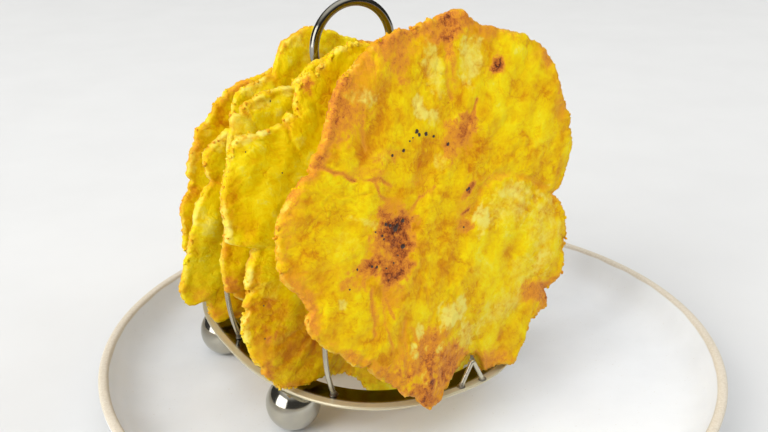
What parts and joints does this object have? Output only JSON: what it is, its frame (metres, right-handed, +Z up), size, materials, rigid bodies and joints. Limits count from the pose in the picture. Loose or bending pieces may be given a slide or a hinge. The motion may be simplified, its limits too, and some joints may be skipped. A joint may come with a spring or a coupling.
{
  "type": "tostones in a rack on a plate",
  "caption": "Fried flattened plantain slices standing in an oval wire rack with ball feet and a lifting ring, on a low-rimmed plate.",
  "frame": {"origin": "centre of the plate's underside, on the table", "axes": "+X across the slices, +Y along the row from the front slice to the back one, +Z up"},
  "size_m": [0.23, 0.23, 0.1468],
  "materials": {
    "stoneware": "satin off-white glaze with a bare tan clay lip",
    "rack_steel": "polished, slightly darkened",
    "fried_plantain": "oily golden yellow with browned patches"
  },
  "bodies": {
    "root": {"plate": "stoneware", "rack_band": "rack_steel", "rack_foot_1": "rack_steel", "rack_foot_2": "rack_steel", "rack_foot_3": "rack_steel", "rack_foot_4": "rack_steel", "rack_hoop_1": "rack_steel", "rack_hoop_2": "rack_steel", "rack_hoop_3": "rack_steel", "rack_hoop_4": "rack_steel", "rack_hoop_5": "rack_steel", "rack_ring": "rack_steel", "rack_stop_front": "rack_steel", "rack_stop_back": "rack_steel", "tostone_1": "fried_plantain", "tostone_2": "fried_plantain", "tostone_3": "fried_plantain", "tostone_4": "fried_plantain", "tostone_5": "fried_plantain"}
  },
  "joints": []
}
